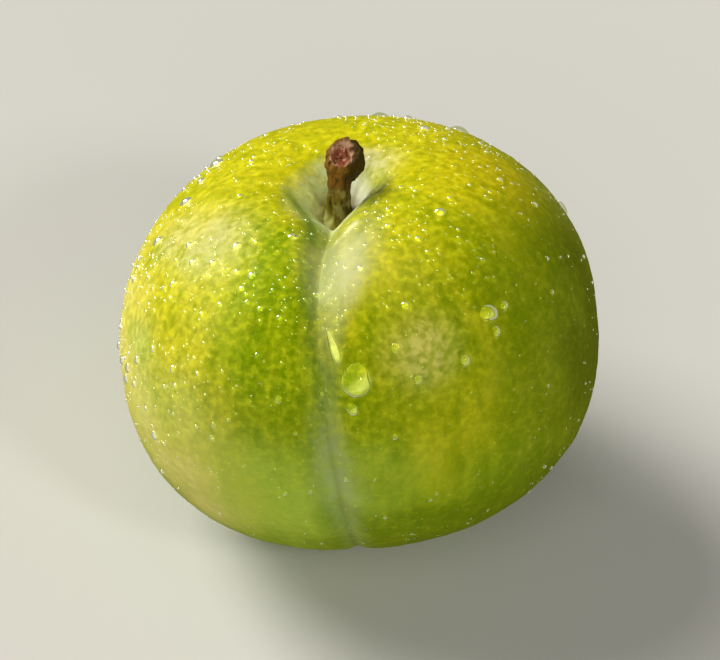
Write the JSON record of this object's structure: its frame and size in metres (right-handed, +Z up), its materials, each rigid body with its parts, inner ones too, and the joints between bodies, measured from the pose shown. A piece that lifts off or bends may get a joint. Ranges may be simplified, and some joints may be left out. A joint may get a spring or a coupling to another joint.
{
  "type": "plum",
  "caption": "Whole ripe green plum with its short woody stem, resting on a small flat spot with the stem end leaning back.",
  "frame": {"origin": "on the surface the plum rests on, under the middle of its outline seen from above", "axes": "+Z up; -Y is the front, where the suture runs from the stem cavity down to the style end; +X is to the right when the suture is looked at. The stem end leans back, towards +Y"},
  "size_m": [0.043, 0.0416, 0.0386],
  "materials": {
    "skin": "satin",
    "stem": "matte"
  },
  "bodies": {
    "root": {"fruit": "skin", "stem": "stem"}
  },
  "joints": []
}
